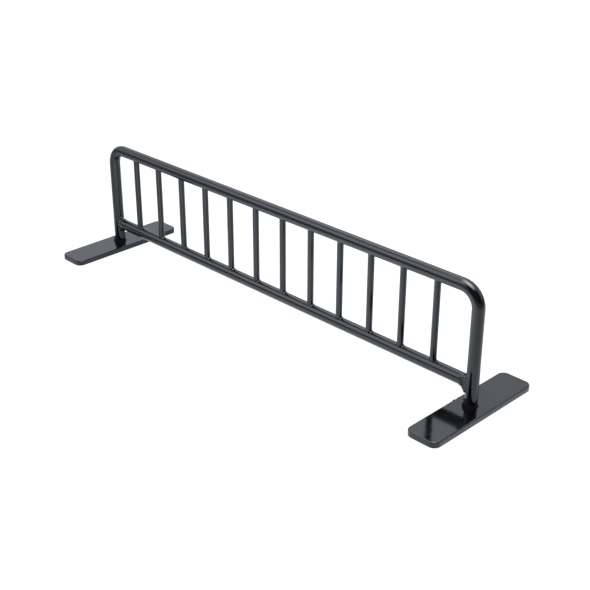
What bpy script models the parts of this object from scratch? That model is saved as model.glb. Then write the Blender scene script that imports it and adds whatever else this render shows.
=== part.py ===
"""Miniature barrier rail: a welded steel rod frame on two flat feet, coated gloss black.

One bent rod makes both posts and the top rail. A second rod of the same size runs between the posts, and
thin balusters stand between the two rails. Each post stands on a flat foot plate laid across the rail.
Metres, +Z up. The origin is on the floor, midway between the posts, and +X runs along the rail.
"""

import math

import bmesh
import bpy
from mathutils import Vector

# Driving dimensions
POST_SPACING = 0.280  # between the axes of the two posts
RAIL_HEIGHT = 0.0653  # floor to the axis of the top rail
LOWER_RAIL_HEIGHT = 0.0157  # floor to the axis of the lower rail
ROD_R = 0.00325  # the bent rod and the lower rail
BEND_R = 0.0100  # top corners, on the rod's axis
BALUSTER_R = 0.00175
BALUSTER_COUNT = 12
BALUSTER_PITCH = 0.0212
BALUSTER_SHIFT = -0.0012  # the row of balusters stands this much off centre
FOOT_WIDTH = 0.0186  # along the rail
FOOT_LENGTH = 0.0775  # across the rail
FOOT_THICKNESS = 0.0031
FOOT_CORNER_R = 0.0040
FOOT_TOP_ROUND = 0.0006  # rolled upper edge of the punched plate
FOOT_BOTTOM_BREAK = 0.0002  # small break on its lower edge
FOOT_WELD_LEG = 0.0013  # out over the plate
FOOT_WELD_RISE = 0.0026  # up the post
RAIL_WELD_LEG = 0.0020  # past the rail's radius, up and down the post
BALUSTER_WELD_LEGS = {"top": 0.0006, "bottom": 0.0009}
ROOT_GAP = 0.0014  # between the lower rail's square ends and the posts, which the welds fill
TOE = 0.0001  # thickness of a weld at its outer edge
GAP = 0.0003  # clearance that keeps touching solids apart

# Facets
ROD_SIDES = 32
BALUSTER_SIDES = 20
BEND_STEPS = 10
CORNER_STEPS = 6
ROUND_STEPS = 3
POST_WELD_SIDES = 32
BALUSTER_WELD_SIDES = 16
RAIL_WELD_STEPS = 5

POST_X = POST_SPACING / 2
SIDES = {"left": -1, "right": 1}

X_AXIS = Vector((1, 0, 0))
Y_AXIS = Vector((0, 1, 0))
Z_AXIS = Vector((0, 0, 1))


def clear_scene():
    for old in list(bpy.data.objects):
        bpy.data.objects.remove(old, do_unlink=True)


def coat(name, colour, roughness):
    """A gloss coating: one Principled material for each kind of piece."""
    made = bpy.data.materials.new(name)
    made.use_nodes = True
    shader = made.node_tree.nodes["Principled BSDF"]
    shader.inputs["Base Color"].default_value = (*colour, 1)
    shader.inputs["Roughness"].default_value = roughness
    shader.inputs["Metallic"].default_value = 0.0
    return made


def add_object(name, mesh, material=None):
    if material:
        mesh.materials.append(material)
    made = bpy.data.objects.new(name, mesh)
    bpy.context.scene.collection.objects.link(made)
    return made


def skin(name, rings, joined=False, tips=None, sharp=40):
    """A closed, smooth-shaded mesh through rings of equally many points. Its ends are flat faces, or fans to
    two tips, or joined to each other."""
    work = bmesh.new()
    made = [[work.verts.new(point) for point in ring] for ring in rings]
    pairs = list(zip(made, made[1:]))
    if joined:
        pairs.append((made[-1], made[0]))
    elif tips:
        for ring, tip in zip((made[0], made[-1]), tips):
            centre = work.verts.new(tip)
            for one, two in zip(ring, ring[1:] + ring[:1]):
                work.faces.new((one, two, centre))
    else:
        work.faces.new(made[0])
        work.faces.new(made[-1])
    for low, high in pairs:
        for k in range(len(low)):
            following = (k + 1) % len(low)
            work.faces.new((low[k], low[following], high[following], high[k]))
    bmesh.ops.recalc_face_normals(work, faces=work.faces)
    mesh = bpy.data.meshes.new(name)
    work.to_mesh(mesh)
    work.free()
    mesh.shade_smooth()
    mesh.set_sharp_from_angle(angle=math.radians(sharp))
    return mesh


def circle(centre, side, other, radius, count):
    """Points round a centre, in the plane of two unit vectors."""
    turns = [2 * math.pi * k / count for k in range(count)]
    return [centre + radius * (side * math.cos(t) + other * math.sin(t)) for t in turns]


def rod(name, stations, radius, sides):
    """A round rod in the XZ plane through stations, each a point and the direction of travel there."""
    rings = [circle(point, Y_AXIS.cross(way), Y_AXIS, radius, sides) for point, way in stations]
    return skin(name, rings)


def hoop_stations():
    """Up the left post, along the top rail and down the right post."""
    start = FOOT_THICKNESS + GAP
    stations = [(Vector((-POST_X, 0, start)), Z_AXIS)]
    for sign, first in ((-1, 180), (1, 90)):
        centre = Vector((sign * (POST_X - BEND_R), 0, RAIL_HEIGHT - BEND_R))
        for k in range(BEND_STEPS + 1):
            turn = math.radians(first - 90 * k / BEND_STEPS)
            out = Vector((math.cos(turn), 0, math.sin(turn)))
            stations.append((centre + BEND_R * out, Vector((out.z, 0, -out.x))))
    stations.append((Vector((POST_X, 0, start)), -Z_AXIS))
    return stations


def top_hoop(material):
    add_object("top_hoop", rod("top_hoop", hoop_stations(), ROD_R, ROD_SIDES), material)


def lower_rail(material):
    """Square-cut rod that stops short of each post, where the welds fill the gap."""
    end = POST_X - ROD_R - ROOT_GAP
    stations = [(Vector((x, 0, LOWER_RAIL_HEIGHT)), X_AXIS) for x in (-end, end)]
    add_object("lower_rail", rod("lower_rail", stations, ROD_R, ROD_SIDES), material)


def foot_outline(inset, height):
    """The foot plate's outline, inset from its edge, as points at a height."""
    radius = FOOT_CORNER_R - inset
    points = []
    for corner, (along, across) in enumerate(((1, 1), (-1, 1), (-1, -1), (1, -1))):
        centre_x = along * (FOOT_WIDTH / 2 - FOOT_CORNER_R)
        centre_y = across * (FOOT_LENGTH / 2 - FOOT_CORNER_R)
        for k in range(CORNER_STEPS + 1):
            turn = math.radians(90 * (corner + k / CORNER_STEPS))
            x = centre_x + radius * math.cos(turn)
            y = centre_y + radius * math.sin(turn)
            points.append(Vector((x, y, height)))
    return points


def foot_plates(material):
    """Flat bars with round corners and a rolled upper edge, laid across the rail under each post."""
    levels = [(FOOT_BOTTOM_BREAK, 0), (0, FOOT_BOTTOM_BREAK)]
    for k in range(ROUND_STEPS + 1):
        turn = math.radians(90 * k / ROUND_STEPS)
        inset = FOOT_TOP_ROUND * (1 - math.cos(turn))
        levels.append((inset, FOOT_THICKNESS - FOOT_TOP_ROUND * (1 - math.sin(turn))))
    mesh = skin("foot_plate", [foot_outline(*level) for level in levels], sharp=50)
    mesh.materials.append(material)
    for side, sign in SIDES.items():
        add_object(f"foot_plate_{side}", mesh).location.x = sign * POST_X


def baluster_x(index):
    """Place of a baluster along the rail, counted from 0 at the left."""
    return BALUSTER_SHIFT + (index - (BALUSTER_COUNT - 1) / 2) * BALUSTER_PITCH


def cope_cutter(name, height):
    """A round cutter the size of a rail and its clearance, which shapes the baluster ends to that rail."""
    stations = [(Vector((x, 0, height)), X_AXIS) for x in (-POST_X, POST_X)]
    cutter = add_object(name, rod(name, stations, ROD_R + GAP, ROD_SIDES))
    cutter.hide_render = True
    cutter.display_type = "WIRE"
    return cutter


def balusters(material):
    """Thin rods between the rails, their ends coped to sit on the round rails."""
    cutters = [cope_cutter("cope_top", RAIL_HEIGHT), cope_cutter("cope_bottom", LOWER_RAIL_HEIGHT)]
    stations = [(Vector((0, 0, z)), Z_AXIS) for z in (LOWER_RAIL_HEIGHT, RAIL_HEIGHT)]
    mesh = rod("baluster", stations, BALUSTER_R, BALUSTER_SIDES)
    mesh.materials.append(material)
    for index in range(BALUSTER_COUNT):
        made = add_object(f"baluster_{index + 1:02d}", mesh)
        made.location.x = baluster_x(index)
        for cutter in cutters:
            cope = made.modifiers.new(cutter.name, "BOOLEAN")
            cope.operation = "DIFFERENCE"
            cope.object = cutter


def weld_ring(name, branch_r, leg, rise, surface, sides):
    """A concave fillet right round a branch rod, leg wide and rise high. surface(distance, turn) is the height
    of the clearance over the piece that it stands on, at a distance from the branch's axis."""
    inner = branch_r + GAP
    waist = inner + 0.35 * leg
    outer = inner + leg
    rings = []
    for k in range(sides):
        turn = 2 * math.pi * k / sides
        profile = (
            (inner, surface(inner, turn)),
            (inner, surface(inner, turn) + rise),
            (waist, surface(waist, turn) + 0.4 * rise),
            (outer, surface(outer, turn) + TOE),
            (outer, surface(outer, turn)),
            (waist, surface(waist, turn)),
        )
        out = Vector((math.cos(turn), math.sin(turn), 0))
        rings.append([out * distance + Z_AXIS * height for distance, height in profile])
    return skin(name, rings, joined=True, sharp=35)


def over_plate(distance, turn):
    """The foot plate is flat, so its clearance is at the same height everywhere."""
    return 0.0


def over_rod(distance, turn):
    """Height of a rod's clearance over its axis, at a distance along its cross-section and its length."""
    return math.sqrt((ROD_R + GAP) ** 2 - (distance * math.sin(turn)) ** 2)


def foot_welds(material):
    """A fillet round each post, on its foot plate."""
    mesh = weld_ring("foot_weld", ROD_R, FOOT_WELD_LEG, FOOT_WELD_RISE, over_plate, POST_WELD_SIDES)
    mesh.materials.append(material)
    for side, sign in SIDES.items():
        made = add_object(f"foot_weld_{side}", mesh)
        made.location = (sign * POST_X, 0, FOOT_THICKNESS + GAP)


def baluster_welds(material):
    """A fillet at each end of each baluster. The upper ones are smaller, and turned over."""
    for end, height, tilt in (("top", RAIL_HEIGHT, math.pi), ("bottom", LOWER_RAIL_HEIGHT, 0)):
        leg = BALUSTER_WELD_LEGS[end]
        mesh = weld_ring(f"baluster_weld_{end}", BALUSTER_R, leg, leg, over_rod, BALUSTER_WELD_SIDES)
        mesh.materials.append(material)
        for index in range(BALUSTER_COUNT):
            made = add_object(f"baluster_{end}_weld_{index + 1:02d}", mesh)
            made.location = (baluster_x(index), 0, height)
            made.rotation_euler.x = tilt


def rail_weld_mesh():
    """The weld between the lower rail's square end and the round post, as a plug with a collar. Local Z
    points from the post's axis along the rail, and local X runs up the post."""
    face = ROD_R + ROOT_GAP - GAP
    profiles = []
    for k in range(POST_WELD_SIDES):
        turn = 2 * math.pi * k / POST_WELD_SIDES
        toe = min(ROD_R + RAIL_WELD_LEG, 0.96 * ROD_R / max(abs(math.sin(turn)), 0.5))
        profile = []
        for step in range(1, RAIL_WELD_STEPS + 1):
            distance = toe * math.sin(math.radians(90 * step / RAIL_WELD_STEPS))
            profile.append((distance, over_rod(distance, turn)))
        profile.append((toe + TOE, over_rod(toe, turn) + TOE))
        profile.append((0.35 * toe + 0.65 * ROD_R, 0.3 * over_rod(toe, turn) + 0.7 * face))
        profile.append((0.97 * ROD_R, face))
        out = Vector((math.cos(turn), math.sin(turn), 0))
        profiles.append([out * distance + Z_AXIS * height for distance, height in profile])
    tips = (Z_AXIS * (ROD_R + GAP), Z_AXIS * face)
    return skin("rail_weld", list(zip(*profiles)), tips=tips, sharp=35)


def rail_welds(material):
    """The lower rail's weld to each post."""
    mesh = rail_weld_mesh()
    mesh.materials.append(material)
    for side, sign in SIDES.items():
        made = add_object(f"rail_weld_{side}", mesh)
        made.location = (sign * POST_X, 0, LOWER_RAIL_HEIGHT)
        made.rotation_euler.y = -sign * math.pi / 2


def main():
    clear_scene()
    rod_coat = coat("rod_coat", (0.012, 0.012, 0.013), 0.14)
    plate_coat = coat("plate_coat", (0.014, 0.014, 0.015), 0.10)
    weld_coat = coat("weld_coat", (0.010, 0.010, 0.011), 0.18)
    top_hoop(rod_coat)
    lower_rail(rod_coat)
    foot_plates(plate_coat)
    balusters(rod_coat)
    foot_welds(weld_coat)
    baluster_welds(weld_coat)
    rail_welds(weld_coat)


main()
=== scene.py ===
"""Looks for the miniature barrier rail: finer rods, plates and welds, gloss black paint and a white studio.

Metres, +Z up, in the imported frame. Each piece stands for one CAD node and is built in its place, apart from
two drops of spatter that the CAD doesn't have.
"""

import itertools
import math

import bmesh
import bpy
import numpy as np
from mathutils import Matrix, Vector


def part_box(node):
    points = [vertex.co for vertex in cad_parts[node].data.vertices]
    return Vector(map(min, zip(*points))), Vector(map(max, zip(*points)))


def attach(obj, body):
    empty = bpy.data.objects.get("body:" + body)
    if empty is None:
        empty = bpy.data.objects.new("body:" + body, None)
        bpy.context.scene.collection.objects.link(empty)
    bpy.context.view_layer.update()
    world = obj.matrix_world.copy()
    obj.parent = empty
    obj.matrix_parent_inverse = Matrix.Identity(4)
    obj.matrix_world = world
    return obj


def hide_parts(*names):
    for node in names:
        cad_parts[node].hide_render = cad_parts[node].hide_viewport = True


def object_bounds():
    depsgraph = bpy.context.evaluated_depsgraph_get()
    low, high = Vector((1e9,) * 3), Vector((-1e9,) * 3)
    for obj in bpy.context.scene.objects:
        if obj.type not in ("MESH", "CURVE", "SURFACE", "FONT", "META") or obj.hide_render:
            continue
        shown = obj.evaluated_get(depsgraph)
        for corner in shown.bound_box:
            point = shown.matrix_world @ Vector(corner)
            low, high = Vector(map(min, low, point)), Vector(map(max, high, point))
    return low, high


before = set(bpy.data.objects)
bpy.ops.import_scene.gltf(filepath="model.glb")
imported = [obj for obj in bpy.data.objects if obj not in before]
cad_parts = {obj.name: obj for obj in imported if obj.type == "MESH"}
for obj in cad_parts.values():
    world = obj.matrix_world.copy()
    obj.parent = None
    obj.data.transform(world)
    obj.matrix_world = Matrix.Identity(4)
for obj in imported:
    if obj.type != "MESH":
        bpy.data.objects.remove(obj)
CAD_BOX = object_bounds()

MM = 0.001


def middle(node):
    low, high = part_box(node)
    return (low + high) / 2


def span(node):
    low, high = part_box(node)
    return high - low


# Sizes and places, read from the frame
ROD_R = span("top_hoop").y / 2
RAIL_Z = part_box("top_hoop")[1].z - ROD_R
LOWER_Z = middle("lower_rail").z
POST_X = {"left": middle("foot_weld_left").x, "right": middle("foot_weld_right").x}
SIGN = {"left": -1, "right": 1}  # which way each end is along X
BALUSTERS = sorted(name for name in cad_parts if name.startswith("baluster_") and "weld" not in name)
BALUSTER_R = span(BALUSTERS[0]).x / 2
PLATE = span("foot_plate_left")
PLATE_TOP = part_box("foot_plate_left")[1].z

# Shape details that the CAD leaves plain
BEND_R = 10.0 * MM  # on the rod's axis, as in the CAD
PLATE_CORNER_R = 4.0 * MM
PLATE_ROLL = 0.60 * MM  # rolled upper edge
PLATE_BREAK = 0.12 * MM  # broken lower edge
CUT_EDGE = 0.30 * MM  # rounding of the lower rail's sawn ends under the paint
FILM = 0.012 * MM  # how much the paint's thickness varies
SINK = 0.06 * MM  # how deep a welded piece reaches into its neighbour
FEATHER = 0.04 * MM  # how thin a weld gets before it ends
WELDER_SIDE = 215  # degrees round a post, from +X towards +Y, where the foot welds are thickest
BEAD_FILLET = 0.4  # mm, round a rail weld's beads
WEB_FILLET = 0.3  # mm, round the flat fill of a rail weld
BUMP_FILLET = 0.3  # mm, round a foot weld's bumps
TOE_FILLET = 0.25  # mm, between a foot weld and its plate

# Mesh fineness
ROD_SIDES = 72
ROD_STEP = 2.0 * MM
BEND_STEPS = 36
BALUSTER_SIDES = 40
BALUSTER_STEPS = 36
CORNER_STEPS = 14
LONG_EDGE_STEPS = 32
SHORT_EDGE_STEPS = 6
BREAK_STEPS = 4
ROLL_STEPS = 8
WELD_STEP = 0.13 * MM
SMALL_WELD_STEP = 0.12 * MM

X_AXIS = Vector((1, 0, 0))

# Paint: the sizes of what varies over it
CLOUD_SIZE = 14 * MM
RUB_SIZE = 2.5 * MM
GRAIN_SIZE = 0.6 * MM
PEEL_SIZE = 1.1 * MM
DUST_SPACING = 2.2 * MM
RUBBED = (0.03, 0.03, 0.031, 1)
DUSTY = (0.04, 0.04, 0.039, 1)


# Meshes -----------------------------------------------------------------------------------------------------

def lumps(points, size, seed):
    """Smooth seeded unevenness from about -1 to 1 at points, with bumps about size apart."""
    draw = np.random.default_rng(seed)
    total = np.zeros(points.shape[:-1])
    waves = 7
    for _ in range(waves):
        way = draw.normal(size=3)
        way *= 2 * math.pi * draw.uniform(0.6, 1.3) / (size * np.linalg.norm(way))
        total += np.sin(points @ way + draw.uniform(0, 2 * math.pi))
    return total / math.sqrt(waves)


def turn_out(mesh):
    """Turns a closed mesh's faces to point out."""
    work = bmesh.new()
    work.from_mesh(mesh)
    bmesh.ops.recalc_face_normals(work, faces=work.faces)
    work.to_mesh(mesh)
    work.free()


def finish_mesh(name, vertices, faces, sharp):
    """A smooth-shaded mesh."""
    mesh = bpy.data.meshes.new(name)
    mesh.from_pydata([tuple(v) for v in vertices], [], faces)
    mesh.shade_smooth()
    mesh.set_sharp_from_angle(angle=math.radians(sharp))
    return mesh


def skin(name, rings, sharp=50):
    """A closed mesh through rings of equally many points, with flat ends."""
    count, sides = rings.shape[:2]
    faces = [tuple(range(sides)), tuple(range((count - 1) * sides, count * sides))]
    for ring in range(count - 1):
        for side in range(sides):
            low = ring * sides
            following = (side + 1) % sides
            faces.append((low + side, low + following, low + sides + following, low + sides + side))
    mesh = finish_mesh(name, rings.reshape(-1, 3), faces, sharp)
    turn_out(mesh)
    return mesh


def straight(start, end):
    """Stations on a straight run, each a point and the way of travel."""
    steps = max(2, round((end - start).length / ROD_STEP))
    way = (end - start).normalized()
    return [(start.lerp(end, k / steps), way) for k in range(steps + 1)]


def hoop_stations():
    """Up the left post, round the bends and down the right post."""
    bottom = PLATE_TOP - SINK
    left, right = POST_X["left"], POST_X["right"]
    shoulder = RAIL_Z - BEND_R
    stations = straight(Vector((left, 0, bottom)), Vector((left, 0, shoulder)))[:-1]
    for centre_x, first in ((left + BEND_R, 180), (right - BEND_R, 90)):
        if first == 90:
            stations += straight(Vector((left + BEND_R, 0, RAIL_Z)), Vector((centre_x, 0, RAIL_Z)))[1:-1]
        for k in range(BEND_STEPS + 1):
            turn = math.radians(first - 90 * k / BEND_STEPS)
            out = Vector((math.cos(turn), 0, math.sin(turn)))
            point = Vector((centre_x, 0, shoulder)) + BEND_R * out
            stations.append((point, Vector((out.z, 0, -out.x))))
    stations += straight(Vector((right, 0, shoulder)), Vector((right, 0, bottom)))[1:]
    return stations


def rod_rings(stations, radius, sides, insets=None):
    """Rings of points round a rod in the XZ plane, under an uneven film of paint."""
    turns = np.linspace(0, 2 * math.pi, sides, endpoint=False)
    insets = insets or [0.0] * len(stations)
    rings = []
    for (point, way), inset in zip(stations, insets):
        side = np.array(Vector((0, 1, 0)).cross(way))
        out = np.outer(np.cos(turns), side) + np.outer(np.sin(turns), (0, 1, 0))
        rings.append(np.array(point) + out * (radius - inset))
    rings = np.array(rings)
    centres = np.array([tuple(point) for point, way in stations])[:, None, :]
    film = np.clip(0.5 + 0.25 * lumps(rings, 11 * MM, 1) + 0.25 * lumps(rings, 4 * MM, 2), 0, 1)
    return rings + (centres - rings) / radius * (FILM * film)[:, :, None]


# Pieces that stand for CAD nodes ----------------------------------------------------------------------------

def add_piece(node, mesh, material):
    """Shows a mesh in place of a CAD node."""
    made = bpy.data.objects.new(node + "_painted", mesh)
    bpy.context.scene.collection.objects.link(made)
    mesh.materials.append(material)
    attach(made, "root")
    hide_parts(node)


def set_wear(mesh, amounts=0.0):
    """How exposed each vertex is to rubbing, from 0 to 1, for the paint to read."""
    layer = mesh.attributes.new("wear", "FLOAT", "POINT")
    exposed = np.clip(np.broadcast_to(amounts, len(mesh.vertices)), 0, 1)
    layer.data.foreach_set("value", exposed.astype(np.float32))


def vertex_array(mesh):
    values = np.empty(len(mesh.vertices) * 3, np.float32)
    mesh.vertices.foreach_get("co", values)
    return values.reshape(-1, 3).astype(float)


def top_hoop(paint):
    rings = rod_rings(hoop_stations(), ROD_R, ROD_SIDES)
    mesh = skin("top_hoop", rings)
    heights = vertex_array(mesh)[:, 2]
    set_wear(mesh, (heights - RAIL_Z) / ROD_R - 0.75)
    add_piece("top_hoop", mesh, paint)


def lower_rail(paint):
    """The rod between the posts. Its sawn ends are rounded a little by the paint."""
    low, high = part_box("lower_rail")
    start, end = Vector((low.x, 0, LOWER_Z)), Vector((high.x, 0, LOWER_Z))
    stations, insets = [], []
    for k in range(ROLL_STEPS):
        turn = math.radians(90 * k / ROLL_STEPS)
        stations.append((start + X_AXIS * CUT_EDGE * (1 - math.cos(turn)), X_AXIS))
        insets.append(CUT_EDGE * (1 - math.sin(turn)))
    run = straight(start + X_AXIS * CUT_EDGE, end - X_AXIS * CUT_EDGE)
    ends = [(Vector((low.x + high.x - point.x, 0, LOWER_Z)), X_AXIS) for point, way in reversed(stations)]
    rings = rod_rings(stations + run + ends, ROD_R, ROD_SIDES, insets + [0.0] * len(run) + insets[::-1])
    mesh = skin("lower_rail", rings, sharp=40)
    set_wear(mesh)
    add_piece("lower_rail", mesh, paint)


def balusters(paint):
    """Thin rods whose ends are coped to the rails that they stand between."""
    turns = np.linspace(0, 2 * math.pi, BALUSTER_SIDES, endpoint=False)
    out = np.stack([np.cos(turns), np.sin(turns), np.zeros_like(turns)], axis=-1)
    for node in BALUSTERS:
        axis = np.array([middle(node).x, 0, 0])
        cope = np.sqrt(ROD_R ** 2 - (BALUSTER_R * np.sin(turns)) ** 2) - SINK
        rings = []
        for k in range(BALUSTER_STEPS + 1):
            share = k / BALUSTER_STEPS
            ring = axis + BALUSTER_R * out
            ring[:, 2] = (1 - share) * (LOWER_Z + cope) + share * (RAIL_Z - cope)
            film = 0.5 + 0.5 * lumps(ring, 6 * MM, 3)
            rings.append(ring - out * (FILM * film)[:, None])
        mesh = skin(node, np.array(rings), sharp=60)
        set_wear(mesh)
        add_piece(node, mesh, paint)


def plate_outline(inset):
    """The foot plate's round-cornered outline, inset from its edge, about its own middle."""
    radius = max(PLATE_CORNER_R - inset, 0.05 * MM)
    half_x, half_y = PLATE.x / 2 - inset - radius, PLATE.y / 2 - inset - radius
    corners = []
    for corner, (along, across) in enumerate(((1, 1), (-1, 1), (-1, -1), (1, -1))):
        for k in range(CORNER_STEPS + 1):
            turn = math.radians(90 * (corner + k / CORNER_STEPS))
            x = along * half_x + radius * math.cos(turn)
            y = across * half_y + radius * math.sin(turn)
            corners.append((x, y))
    points = []
    for k, (one, two) in enumerate(zip(corners, corners[1:] + corners[:1])):
        points.append(one)
        if k % (CORNER_STEPS + 1) == CORNER_STEPS:
            steps = LONG_EDGE_STEPS if k // (CORNER_STEPS + 1) % 2 else SHORT_EDGE_STEPS
            for step in range(1, steps):
                share = step / steps
                points.append((one[0] + share * (two[0] - one[0]), one[1] + share * (two[1] - one[1])))
    return np.array(points)


def plate_levels():
    """Insets and heights from the middle of the underside, over the edge and to the middle of the top."""
    inner = PLATE.x / 2 - 0.2 * MM  # just short of the middle line
    levels = [(inner, 0.0), (inner / 2, 0.0)]
    for k in range(BREAK_STEPS + 1):
        turn = math.radians(90 * k / BREAK_STEPS)
        levels.append((PLATE_BREAK * (1 - math.sin(turn)), PLATE_BREAK * (1 - math.cos(turn))))
    for k in range(ROLL_STEPS + 1):
        turn = math.radians(90 * k / ROLL_STEPS)
        levels.append((PLATE_ROLL * (1 - math.cos(turn)), PLATE_TOP - PLATE_ROLL * (1 - math.sin(turn))))
    for share in (0.02, 0.05, 0.1, 0.2, 0.35, 0.5, 0.65, 0.8, 1.0):
        levels.append((PLATE_ROLL + share * (inner - PLATE_ROLL), PLATE_TOP))
    return levels


def foot_plates(paint):
    """Punched flat bars with a rolled upper edge, a broken lower edge and slightly uneven paint on top."""
    levels = plate_levels()
    for side in SIGN:
        node = f"foot_plate_{side}"
        place = np.array([middle(node).x, 0, 0])
        rings = []
        for inset, height in levels:
            outline = plate_outline(inset)
            ring = np.column_stack([outline, np.full(len(outline), height)]) + place
            covered = min(1.0, max(0.0, (height / PLATE_TOP - 0.5) * 2))  # 0 up to half way up the edge
            ring[:, 2] -= covered * FILM * (1 + 0.5 * lumps(ring, 16 * MM, 4) + 0.25 * lumps(ring, 6 * MM, 5))
            rings.append(ring)
        mesh = skin(node, np.array(rings), sharp=60)
        wear = [1 - abs(inset - 0.3 * PLATE_ROLL) / PLATE_ROLL for inset, height in levels]
        heights = [height / PLATE_TOP for inset, height in levels]
        amounts = np.repeat([w * h ** 3 for w, h in zip(wear, heights)], rings[0].shape[0])
        set_wear(mesh, amounts)
        add_piece(node, mesh, paint)


# Weld beads, as solids worked out on a grid ----------------------------------------------------------------

def part_of(array, corner, shape):
    """The block of a grid array that holds one corner of every cell."""
    return array[tuple(slice(c, c + n) for c, n in zip(corner, shape))]


def crossings(values, shape):
    """For every cell, the mean place in it where the surface crosses its edges, and how many it crosses."""
    total, number = np.zeros((*shape, 3)), np.zeros(shape)
    for axis in range(3):
        for near in itertools.product((0, 1), repeat=3):
            if near[axis]:
                continue
            far = tuple(c + (a == axis) for a, c in enumerate(near))
            one, two = part_of(values, near, shape), part_of(values, far, shape)
            cross = (one < 0) != (two < 0)
            share = np.where(cross, one / np.where(cross, one - two, 1), 0)
            place = np.array(near) + share[..., None] * np.eye(3)[axis]
            total += np.where(cross[..., None], place, 0)
            number += cross
    return total, number


def connected(inside, values):
    """The part of a grid of inside points that is joined to the deepest of them."""
    start = np.unravel_index(np.where(inside, values, np.inf).argmin(), values.shape)
    found = np.zeros_like(inside)
    found[start] = True
    size = 0
    while found.sum() > size:
        size = found.sum()
        for axis in range(3):
            for way in (slice(None), slice(None, None, -1)):
                grown = np.moveaxis(found, axis, 0)[way]
                allowed = np.moveaxis(inside, axis, 0)[way]
                for k in range(1, len(grown)):
                    grown[k] |= grown[k - 1] & allowed[k]
    return found


def part_diagonals(inside):
    """Empties grid points that touch the rest of the inside only across a diagonal, where a surface would be
    joined to itself along an edge."""
    for one, two in ((0, 1), (0, 2), (1, 2)):
        block = np.moveaxis(inside, (one, two), (0, 1))
        a, b, c, d = block[:-1, :-1], block[1:, :-1], block[:-1, 1:], block[1:, 1:]
        a &= ~(a & d & ~b & ~c)
        b &= ~(b & c & ~a & ~d)


def without_crumbs(values):
    """Grid values with the inside cut down to its main body, and a second one if it is over a tenth as large,
    both off the grid's border."""
    inside = np.zeros(values.shape, bool)
    inside[1:-1, 1:-1, 1:-1] = values[1:-1, 1:-1, 1:-1] < 0
    for _ in range(4):
        part_diagonals(inside)
    kept = connected(inside, values)
    rest = inside & ~kept
    if rest.any():
        second = connected(rest, values)
        if second.sum() > 0.1 * kept.sum():
            kept |= second
    just_outside = 1e-9
    return np.where(kept == (values < 0), values, just_outside)


def settle(points, field, step):
    """Moves points onto the surface where field is 0, but not out of their own cells."""
    nudge = 0.05 * step
    stride = 0.4 * step  # the most that a point moves at a time
    leash = 0.45 * step  # the most that it moves in all, along each axis
    start = points
    for _ in range(4):
        value = field(points)
        rises = [field(points + nudge * way) - field(points - nudge * way) for way in np.eye(3)]
        slope = np.stack(rises, axis=-1) / (2 * nudge)
        length = np.maximum((slope ** 2).sum(-1), 0.05)
        move = slope * (value / length)[..., None]
        far = np.linalg.norm(move, axis=-1)[..., None]
        points = points - move * np.minimum(1, stride / np.maximum(far, 1e-12))
        points = np.clip(points, start - leash, start + leash)
    return points


def solid(name, field, low, high, step):
    """A closed mesh of the surface where field is 0 (negative inside): a vertex in each cell that it crosses
    and a face round each edge that it crosses."""
    axes = [np.arange(a, b + step, step) for a, b in zip(low, high)]
    values = without_crumbs(field(np.stack(np.meshgrid(*axes, indexing="ij"), axis=-1)))
    inside = values < 0
    shape = tuple(n - 1 for n in values.shape)
    total, number = crossings(values, shape)
    used = number > 0
    index = np.full(shape, -1)
    index[used] = np.arange(used.sum())
    points = np.array(low) + (np.argwhere(used) + total[used] / number[used][:, None]) * step
    points = settle(points, field, step)
    faces = []
    for axis in range(3):
        one, two = np.eye(3, dtype=int)[(axis + 1) % 3], np.eye(3, dtype=int)[(axis + 2) % 3]
        near = np.delete(inside, -1, axis=axis)
        far = np.delete(inside, 0, axis=axis)
        edges = np.argwhere(near != far)
        edges = edges[(edges @ one > 0) & (edges @ two > 0)]
        edges = edges[(edges @ one < shape[(axis + 1) % 3]) & (edges @ two < shape[(axis + 2) % 3])]
        around = (one + two, two, 0 * one, one)
        quads = np.stack([index[tuple((edges - shift).T)] for shift in around], axis=-1)
        leaving = near[tuple(edges.T)]
        faces += quads[leaving].tolist() + quads[~leaving][:, ::-1].tolist()
    return finish_mesh(name, points, faces, 180)


def ball(points, centre, radius):
    return np.linalg.norm(points - np.array(centre), axis=-1) - radius


def capsule(points, start, end, radius):
    start, end = np.array(start, float), np.array(end, float)
    way = end - start
    share = np.clip((points - start) @ way / (way @ way), 0, 1)
    return np.linalg.norm(points - start - share[..., None] * way, axis=-1) - radius


def round_rod(points, axis, through, radius):
    """Distance to an endless round rod along an axis (0 for X, 2 for Z)."""
    apart = np.delete(points - np.array(through), axis, axis=-1)
    return np.linalg.norm(apart, axis=-1) - radius


def blend(one, two, reach):
    """The union of two solids, with a fillet that starts about reach from their crease."""
    share = np.clip(0.5 + 0.5 * (two - one) / reach, 0, 1)
    return two + (one - two) * share - reach * share * (1 - share)


def slab(points, outline, centre_y, half, edge):
    """A flat body across Y with round edges: a convex outline, clockwise in X and Z, half thick each way."""
    outside = np.full(points.shape[:-1], -np.inf)
    for (x1, z1), (x2, z2) in zip(outline, outline[1:] + outline[:1]):
        across = (points[..., 2] - z1) * (x2 - x1) - (points[..., 0] - x1) * (z2 - z1)
        outside = np.maximum(outside, across / math.hypot(x2 - x1, z2 - z1))
    corner = np.stack([outside + edge, np.abs(points[..., 1] - centre_y) - half + edge], axis=-1)
    return np.linalg.norm(np.maximum(corner, 0), axis=-1) + np.minimum(corner.max(axis=-1), 0) - edge


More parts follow.
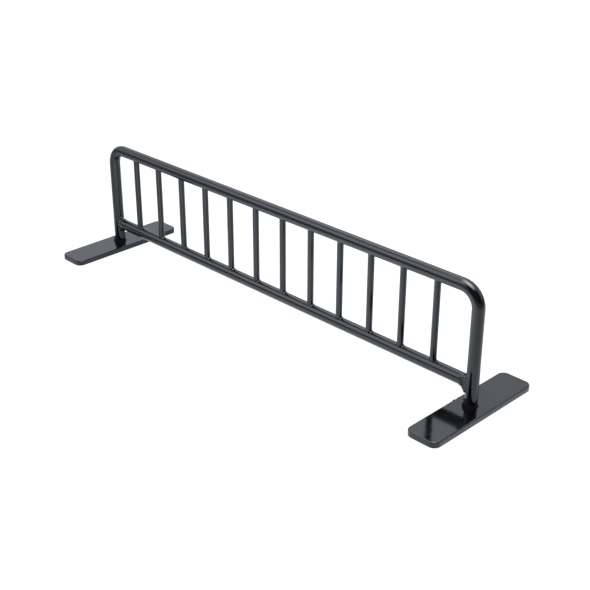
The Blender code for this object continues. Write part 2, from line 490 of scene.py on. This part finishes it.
def foot_weld(side, leg, rise, bumps, seed):
    """The field of a steep lumpy collar round a post on its plate, in millimetres: leg is its width on the
    plate and rise its height up the post, both greatest on the welder's side. Bumps are (turn in degrees,
    distance out past the post, height, radius)."""
    def field(points):
        local = (points - np.array((POST_X[side], 0, PLATE_TOP))) / MM
        post_r, sink = ROD_R / MM, SINK / MM
        turn = np.arctan2(local[..., 1], local[..., 0])
        ring = np.stack([np.cos(turn), np.sin(turn), np.zeros_like(turn)], axis=-1)
        facing = np.cos(turn - math.radians(WELDER_SIDE))
        high = (rise + 0.45 * rise * facing) * (1 + 0.15 * lumps(ring, 0.9, seed))
        wide = leg * (1 + 0.5 * facing + 0.2 * lumps(ring, 1.0, seed + 1))
        climb = np.clip(local[..., 2] / high, 0, 1)
        distance = np.linalg.norm(local[..., :2], axis=-1)
        flare = wide * (1 - climb) ** 1.5
        coat = 0.25 * (1 - climb ** 2)
        body = 0.8 * (distance - post_r + sink - flare - coat)  # scaled to keep its slope under about 1
        body = np.maximum(body, local[..., 2] - high)
        for bump_turn, out, height, radius in bumps:
            angle, reach = math.radians(bump_turn), post_r + out
            centre = (reach * math.cos(angle), reach * math.sin(angle), height)
            body = blend(body, ball(local, centre, radius), BUMP_FILLET)
        post, plate = distance - post_r + sink, local[..., 2] + sink
        body = blend(body, plate, TOE_FILLET) + FEATHER / MM - 0.02 * lumps(local, 1.1, seed + 2)
        return np.maximum(body, np.maximum(-post, -plate)) * MM

    return field


def foot_welds(paint):
    """Steep collars of arc weld, with bumps that stand out at the front left."""
    runs = {
        "right": {
            "leg": 0.60,
            "rise": 2.9,
            "bumps": [(226, 0.35, 1.1, 0.7), (206, 0.15, 3.0, 0.6)],
            "seed": 21,
        },
        "left": {
            "leg": 0.55,
            "rise": 3.0,
            "bumps": [(224, 0.45, 0.6, 0.6), (218, 0.95, 0.45, 0.35), (240, 0.2, 2.6, 0.5)],
            "seed": 31,
        },
    }
    for side, run in runs.items():
        reach = ROD_R + 3.2 * MM
        low = (POST_X[side] - reach, -reach, PLATE_TOP - 3 * SINK)
        high = (POST_X[side] + reach, reach, PLATE_TOP + 5.5 * MM)
        mesh = solid(f"foot_weld_{side}", foot_weld(side, **run), low, high, WELD_STEP)
        set_wear(mesh)
        add_piece(f"foot_weld_{side}", mesh, paint)


def spatter(paint):
    """Two drops of weld metal stuck to the inner edge of the right foot."""
    edge_x = POST_X["right"] - PLATE.x / 2
    drops = ((-1.5, 0.55), (2.1, 0.45))  # place along the foot and radius, in millimetres
    for number, (y, radius) in enumerate(drops, 1):
        centre = (edge_x + 0.15 * MM, y * MM, PLATE_TOP - 0.45 * MM)

        def field(points):
            return ball(points, centre, radius * MM) + 0.08 * MM * lumps(points, 0.9 * MM, 60 + number)

        low = [c - 0.9 * MM for c in centre]
        high = [c + 0.9 * MM for c in centre]
        mesh = solid(f"spatter_{number}", field, low, high, WELD_STEP)
        set_wear(mesh)
        drop = bpy.data.objects.new(f"spatter_{number}", mesh)
        bpy.context.scene.collection.objects.link(drop)
        mesh.materials.append(paint)
        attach(drop, "root")


def rail_weld(side, beads, pits, web, reach, seed):
    """The field of the weld between the lower rail's end and a post, in millimetres: distance from the post's
    axis towards the rail, across, and up from the rail. Beads are two points and a radius, pits a point and a
    radius, and web the outline of a flat fill in the corner."""
    low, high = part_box("lower_rail")
    end = abs(POST_X[side] - (low.x if side == "left" else high.x)) / MM

    def field(points):
        local = (points - np.array((POST_X[side], 0, LOWER_Z))) * np.array((-SIGN[side], 1, 1)) / MM
        thin = (ROD_R - SINK) / MM
        post = round_rod(local, 2, (0, 0, 0), thin)
        rail = np.maximum(round_rod(local, 0, (0, 0, 0), thin), end + SINK / MM - local[..., 0])
        body = blend(post, rail, reach * (1 + 0.15 * lumps(local, 2.4, seed)))
        for start, stop, radius in beads:
            body = blend(body, capsule(local, start, stop, radius), BEAD_FILLET)
        if web:
            body = blend(body, slab(local, web, centre_y=-2.5, half=0.7, edge=0.3), WEB_FILLET)
        for centre, radius in pits:
            body = np.maximum(body, -ball(local, centre, radius))
        body = body + FEATHER / MM - 0.03 * lumps(local, 1.0, seed + 1)
        return np.maximum(body, np.maximum(-post, -rail)) * MM

    return field


def rail_welds(paint):
    """The right weld is a rough bead that laps over the rail's end, with a flat fill down to the post. The
    left one is smooth and flared."""
    runs = {
        "right": {
            "beads": [
                ((4.9, -0.3, -0.4), (5.2, -0.3, -0.5), 3.15),
                ((5.3, -2.1, 1.9), (6.0, -2.0, 1.7), 0.8),
                ((5.7, -2.5, 0.2), (6.0, -2.4, -0.9), 0.65),
                ((5.7, -1.9, -1.9), (5.0, -1.2, -2.6), 0.75),
            ],
            "pits": [((4.4, -3.3, 1.1), 0.55), ((4.9, -3.5, -0.2), 0.4), ((1.9, -2.9, -4.7), 0.6)],
            "web": [
                (0, 4.2), (1.6, 3.9), (4.2, 2.6), (5.2, 1.2),
                (5.2, -1.6), (4.2, -3.0), (2.6, -5.2), (0, -5.8),
            ],
            "reach": 0.7,
            "seed": 41,
        },
        "left": {
            "beads": [((2.4, 0.0, 0.0), (4.9, 0.0, 0.0), 2.85)],
            "pits": [],
            "web": None,
            "reach": 3.4,
            "seed": 51,
        },
    }
    for side, run in runs.items():
        ends = [POST_X[side] - SIGN[side] * along * MM for along in (-ROD_R / MM - 0.5, 8.5)]
        low = (min(ends), -ROD_R - 1.2 * MM, LOWER_Z - 7.5 * MM)
        high = (max(ends), ROD_R + 1.2 * MM, LOWER_Z + 7.0 * MM)
        mesh = solid(f"rail_weld_{side}", rail_weld(side, **run), low, high, WELD_STEP)
        set_wear(mesh)
        add_piece(f"rail_weld_{side}", mesh, paint)


def baluster_weld(centre_x, rail_z, up, reach, lean, seed):
    """The field of a fillet between a baluster and a rail, wider on its +X side by lean."""
    def field(points):
        rod = round_rod(points, 2, (centre_x, 0, 0), BALUSTER_R - SINK)
        rail = round_rod(points, 0, (0, 0, rail_z), ROD_R - SINK)
        side = np.tanh((points[..., 0] - centre_x) / BALUSTER_R)
        width = reach * MM * (1 + lean * side + 0.12 * lumps(points, 2.0 * MM, seed))
        body = blend(rod, rail, width) + FEATHER - 0.015 * MM * lumps(points, 0.8 * MM, seed + 1)
        beyond = up * (rail_z - points[..., 2])
        return np.maximum(np.maximum(body, beyond), np.maximum(-rod, -rail))

    return field


def baluster_welds(paint):
    """Small fillets at both ends of each baluster, larger on the lower rail."""
    for place, rail_z, up, reach, lean in (("top", RAIL_Z, -1, 0.9, 0.1), ("bottom", LOWER_Z, 1, 1.15, 0.5)):
        for number, node in enumerate(BALUSTERS, 1):
            x = middle(node).x
            half = BALUSTER_R + reach * MM
            ends = sorted((rail_z + up * 1.6 * MM, rail_z + up * (ROD_R + reach * MM)))
            low, high = (x - half, -ROD_R - 0.3 * MM, ends[0]), (x + half, ROD_R + 0.3 * MM, ends[1])
            field = baluster_weld(x, rail_z, up, reach, lean, 100 * number + (place == "top"))
            name = f"baluster_{place}_weld_{number:02d}"
            mesh = solid(name, field, low, high, SMALL_WELD_STEP)
            set_wear(mesh)
            add_piece(name, mesh, paint)


# Paint ------------------------------------------------------------------------------------------------------

class Nodes:
    """A short way to add and join shader nodes."""

    def __init__(self, tree):
        self.tree = tree

    def add(self, kind, **settings):
        made = self.tree.nodes.new(kind)
        for name, value in settings.items():
            setattr(made, name, value)
        return made

    def put(self, socket, value):
        if isinstance(value, bpy.types.NodeSocket):
            self.tree.links.new(value, socket)
        else:
            socket.default_value = value

    def math(self, operation, one, two, clamp=False):
        made = self.add("ShaderNodeMath", operation=operation, use_clamp=clamp)
        self.put(made.inputs[0], one)
        self.put(made.inputs[1], two)
        return made.outputs[0]

    def ranged(self, value, source, target):
        """Goes smoothly from one target to the other while the value goes through the source range."""
        made = self.add("ShaderNodeMapRange", interpolation_type="SMOOTHSTEP")
        self.put(made.inputs["Value"], value)
        for name, number in zip(("From Min", "From Max", "To Min", "To Max"), (*source, *target)):
            self.put(made.inputs[name], number)
        return made.outputs["Result"]

    def mix(self, share, one, two):
        made = self.add("ShaderNodeMix", data_type="RGBA")
        self.put(made.inputs["Factor"], share)
        self.put(made.inputs["A"], one)
        self.put(made.inputs["B"], two)
        return made.outputs["Result"]

    def blend(self, share, one, two):
        made = self.add("ShaderNodeMix", data_type="FLOAT")
        self.put(made.inputs["Factor"], share)
        self.put(made.inputs["A"], one)
        self.put(made.inputs["B"], two)
        return made.outputs["Result"]

    def towards(self, way, target):
        """1 where a direction points at the target, falling to -1 opposite to it."""
        made = self.add("ShaderNodeVectorMath", operation="DOT_PRODUCT")
        self.put(made.inputs[0], way)
        made.inputs[1].default_value = Vector(target).normalized()
        return made.outputs["Value"]

    def near(self, place, centre, distances, levels):
        """Goes from one level to the other between two distances from a centre."""
        made = self.add("ShaderNodeVectorMath", operation="DISTANCE")
        self.put(made.inputs[0], place)
        made.inputs[1].default_value = centre
        return self.ranged(made.outputs["Value"], distances, levels)

    def noise(self, place, size, detail=2.0):
        made = self.add("ShaderNodeTexNoise")
        self.put(made.inputs["Vector"], place)
        self.put(made.inputs["Scale"], 1 / size)
        self.put(made.inputs["Detail"], detail)
        return made.outputs["Fac"]


def gloss_paint(slot, dark, pale, roughness, peel, shine=0.5, kind="paint"):
    """Black coating: uneven depth of colour from dark to pale, faint orange peel, dust and rubbed edges."""
    made = bpy.data.materials.new(f"{slot}_{kind}")
    made["slot"] = slot
    made.use_nodes = True
    tree = made.node_tree
    nodes = Nodes(tree)
    shader = tree.nodes["Principled BSDF"]
    place = nodes.add("ShaderNodeTexCoord").outputs["Object"]
    wear = nodes.add("ShaderNodeAttribute", attribute_name="wear").outputs["Fac"]
    broad = nodes.noise(place, CLOUD_SIZE)
    middling = nodes.noise(place, RUB_SIZE, 3.0)
    fine = nodes.noise(place, GRAIN_SIZE, 3.0)
    dust = nodes.add("ShaderNodeTexVoronoi", feature="F1")
    nodes.put(dust.inputs["Vector"], place)
    nodes.put(dust.inputs["Scale"], 1 / DUST_SPACING)
    speck = nodes.ranged(dust.outputs["Distance"], (0.02, 0.05), (1.0, 0.0))
    rub = nodes.math("MULTIPLY", wear, nodes.ranged(middling, (0.45, 0.7), (0.0, 1.0)), clamp=True)
    mottle = nodes.math("ADD", nodes.math("MULTIPLY", broad, 0.5), nodes.math("MULTIPLY", fine, 0.5))
    colour = nodes.mix(nodes.ranged(mottle, (0.38, 0.62), (0.0, 1.0)), (*dark, 1), (*pale, 1))
    colour = nodes.mix(nodes.math("MULTIPLY", rub, 0.35), colour, RUBBED)
    colour = nodes.mix(nodes.math("MULTIPLY", speck, 0.5), colour, DUSTY)
    nodes.put(shader.inputs["Base Color"], colour)
    haze = nodes.ranged(middling, (0.3, 0.7), (roughness - 0.015, roughness + 0.02))
    haze = nodes.math("ADD", haze, nodes.ranged(fine, (0.4, 0.8), (0.0, 0.02)))
    haze = nodes.math("ADD", haze, nodes.math("MULTIPLY", rub, 0.12))
    haze = nodes.math("ADD", haze, nodes.math("MULTIPLY", speck, 0.3))
    nodes.put(shader.inputs["Roughness"], haze)
    shader.inputs["Metallic"].default_value = 0.0
    shader.inputs["IOR"].default_value = 1.5
    shader.inputs["Specular IOR Level"].default_value = shine
    skin_bump = nodes.add("ShaderNodeBump")
    skin_bump.inputs["Strength"].default_value = 1.0
    skin_bump.inputs["Distance"].default_value = peel
    height = nodes.math("ADD", nodes.noise(place, PEEL_SIZE, 1.0), nodes.math("MULTIPLY", speck, 0.8))
    nodes.put(skin_bump.inputs["Height"], height)
    nodes.put(shader.inputs["Normal"], skin_bump.outputs["Normal"])
    return made


# Studio -----------------------------------------------------------------------------------------------------

COOL = (0.945, 0.995, 1.07, 1.0)  # the studio's slightly blue white
TABLE_GLOW = 0.90
TABLE_DROP = 0.02 * MM  # how far the table is below the feet
SOFTBOX_PLACE = (0.14, -0.05, 0.60)
SOFTBOX_RADIANCE = 10.5
FLAG_RADIANCE = 0.32
ROOM_FILL = 1.15


def prop(name, corners, faces, material):
    """An object of the studio, which isn't part of the model."""
    mesh = bpy.data.meshes.new(name)
    mesh.from_pydata(corners, [], faces)
    mesh.materials.append(material)
    made = bpy.data.objects.new(name, mesh)
    bpy.context.scene.collection.objects.link(made)
    return made


def paper():
    """White paper that glows, so that shadows on it stay faint. Reflections see painted pools of light in its
    glow, brightest in front of the object."""
    made = bpy.data.materials.new("paper")
    made.use_nodes = True
    nodes = Nodes(made.node_tree)
    shader = made.node_tree.nodes["Principled BSDF"]
    shader.inputs["Base Color"].default_value = (0.14, 0.14, 0.14, 1)
    shader.inputs["Roughness"].default_value = 0.9
    shader.inputs["Specular IOR Level"].default_value = 0.0
    shader.inputs["Emission Color"].default_value = COOL
    place = nodes.add("ShaderNodeTexCoord").outputs["Object"]
    # Painted pools of light in the paper's glow, seen only in reflections
    front = nodes.near(place, (0.03, -0.13, 0), (0.03, 0.24), (1.45, 0.60))
    behind = nodes.near(place, (0.22, 0.18, 0), (0.08, 0.24), (0.35, 0.0))
    lit = nodes.math("ADD", front, behind)
    path = nodes.add("ShaderNodeLightPath")
    strength = nodes.blend(path.outputs["Is Glossy Ray"], TABLE_GLOW, lit)
    nodes.put(shader.inputs["Emission Strength"], strength)
    return made


def floor():
    """A wide white table top just under the feet."""
    half = 8.0
    corners = [(-half, -half, 0), (half, -half, 0), (half, half, 0), (-half, half, 0)]
    made = prop("floor", corners, [(0, 1, 2, 3)], paper())
    made.location.z = CAD_BOX[0].z - TABLE_DROP


def glow(name, radiance, falloff=None):
    """An emitting material. With a falloff it fades from its middle between two distances, into clear air."""
    made = bpy.data.materials.new(name)
    made.use_nodes = True
    nodes = Nodes(made.node_tree)
    made.node_tree.nodes.remove(made.node_tree.nodes["Principled BSDF"])
    light = nodes.add("ShaderNodeEmission")
    light.inputs["Color"].default_value = COOL
    light.inputs["Strength"].default_value = radiance
    surface = light.outputs[0]
    if falloff:
        place = nodes.add("ShaderNodeTexCoord").outputs["Object"]
        nodes.put(light.inputs["Strength"], nodes.near(place, (0, 0, 0), falloff, (radiance, 0.0)))
        clear = nodes.add("ShaderNodeAddShader")
        nodes.put(clear.inputs[0], surface)
        nodes.put(clear.inputs[1], nodes.add("ShaderNodeBsdfTransparent").outputs[0])
        surface = clear.outputs[0]
    nodes.put(made.node_tree.nodes["Material Output"].inputs["Surface"], surface)
    return made


def overhead_softbox():
    """A soft light above the object, brightest in its middle. The camera doesn't see it."""
    half = 0.5
    corners = [(-half, -half, 0), (-half, half, 0), (half, half, 0), (half, -half, 0)]
    cloth = glow("softbox_cloth", SOFTBOX_RADIANCE, (0.03, 0.40))
    made = prop("overhead_softbox", corners, [(0, 1, 2, 3)], cloth)
    made.location = SOFTBOX_PLACE
    made.scale = (1.05, 0.95, 1.0)
    made.visible_camera = False
    made.visible_shadow = False


def horizon_flag():
    """A low dark wall round the table, seen only in reflections, which ends the white table's reflection."""
    radius, height, sides = 0.42, 0.085, 96
    turns = [2 * math.pi * k / sides for k in range(sides)]
    corners = [(radius * math.cos(t), radius * math.sin(t), z) for z in (0.0, height) for t in turns]
    faces = [(k, (k + 1) % sides, sides + (k + 1) % sides, sides + k) for k in range(sides)]
    made = prop("horizon_flag", corners, faces, glow("flag_cloth", FLAG_RADIANCE))
    made.visible_camera = False
    made.visible_diffuse = False
    made.visible_shadow = False


def studio_world():
    """A white room: plain white to the camera and an even fill on the table. In reflections it is darker
    towards the horizon and behind the camera, with brighter patches at the front left and high at the back
    left."""
    world = bpy.data.worlds.new("studio")
    bpy.context.scene.world = world
    world.use_nodes = True
    tree = world.node_tree
    nodes = Nodes(tree)
    background = tree.nodes["Background"]
    way = nodes.add("ShaderNodeTexCoord").outputs["Generated"]
    axes = nodes.add("ShaderNodeSeparateXYZ")
    nodes.put(axes.inputs[0], way)
    dome = nodes.ranged(axes.outputs["Z"], (0.05, 0.42), (0.42, 1.12))
    front_left = ((-0.52, -0.58, 0.63), (0.92, 0.99), 1.6)
    back_left = ((-0.47, 0.42, 0.78), (0.925, 0.98), 1.1)
    for direction, edge, strength in (front_left, back_left):
        patch = nodes.ranged(nodes.towards(way, direction), edge, (0.0, strength))
        dome = nodes.math("ADD", dome, patch)
    shade = nodes.ranged(nodes.towards(way, (0.72, -0.60, 0.34)), (0.42, 0.64), (1.0, 0.03))
    reflected = nodes.math("MULTIPLY", dome, shade)
    path = nodes.add("ShaderNodeLightPath")
    nodes.put(background.inputs["Strength"], nodes.blend(path.outputs["Is Glossy Ray"], ROOM_FILL, reflected))
    background.inputs["Color"].default_value = COOL


def camera():
    """The photograph's view, fitted to the object's edges in it: half way from the front to the right end,
    and from above, with a long lens."""
    azimuth, elevation, roll = math.radians(45.16), math.radians(26.48), math.radians(0.106)
    posts_apart = POST_X["right"] - POST_X["left"]
    target = Vector((0.0675 * posts_apart, 0, 0.0719 * posts_apart))
    distance = 2.2128 * posts_apart
    back = Vector((math.sin(azimuth) * math.cos(elevation), -math.cos(azimuth) * math.cos(elevation),
                   math.sin(elevation)))
    lens = bpy.data.cameras.new("camera")
    lens.sensor_width = 36.0
    lens.lens = 69.18
    lens.clip_start, lens.clip_end = 0.01, 100.0
    made = bpy.data.objects.new("camera", lens)
    turned = (-back).to_track_quat("-Z", "Y").to_matrix() @ Matrix.Rotation(roll, 3, "Z")
    made.matrix_world = Matrix.Translation(target + back * distance) @ turned.to_4x4()
    bpy.context.scene.collection.objects.link(made)
    bpy.context.scene.camera = made


def main():
    rod_coat = gloss_paint("rod_coat", dark=(0.0006, 0.0006, 0.0008), pale=(0.0030, 0.0031, 0.0036),
                           roughness=0.085, peel=0.007 * MM)
    plate_coat = gloss_paint("plate_coat", dark=(0.0002, 0.0002, 0.0003), pale=(0.0034, 0.0035, 0.0039),
                             roughness=0.10, peel=0.009 * MM)
    weld_coat = gloss_paint("weld_coat", dark=(0.0006, 0.0006, 0.0008), pale=(0.0020, 0.0021, 0.0024),
                            roughness=0.10, peel=0.006 * MM)
    sooty_coat = gloss_paint("weld_coat", dark=(0.0022, 0.0022, 0.0023), pale=(0.0060, 0.0060, 0.0062),
                             roughness=0.22, peel=0.010 * MM, shine=0.03, kind="sooty_paint")
    top_hoop(rod_coat)
    lower_rail(rod_coat)
    balusters(rod_coat)
    foot_plates(plate_coat)
    foot_welds(sooty_coat)
    spatter(sooty_coat)
    rail_welds(weld_coat)
    baluster_welds(weld_coat)
    floor()
    overhead_softbox()
    horizon_flag()
    studio_world()
    camera()
    bpy.context.scene.view_settings.view_transform = "Standard"


main()
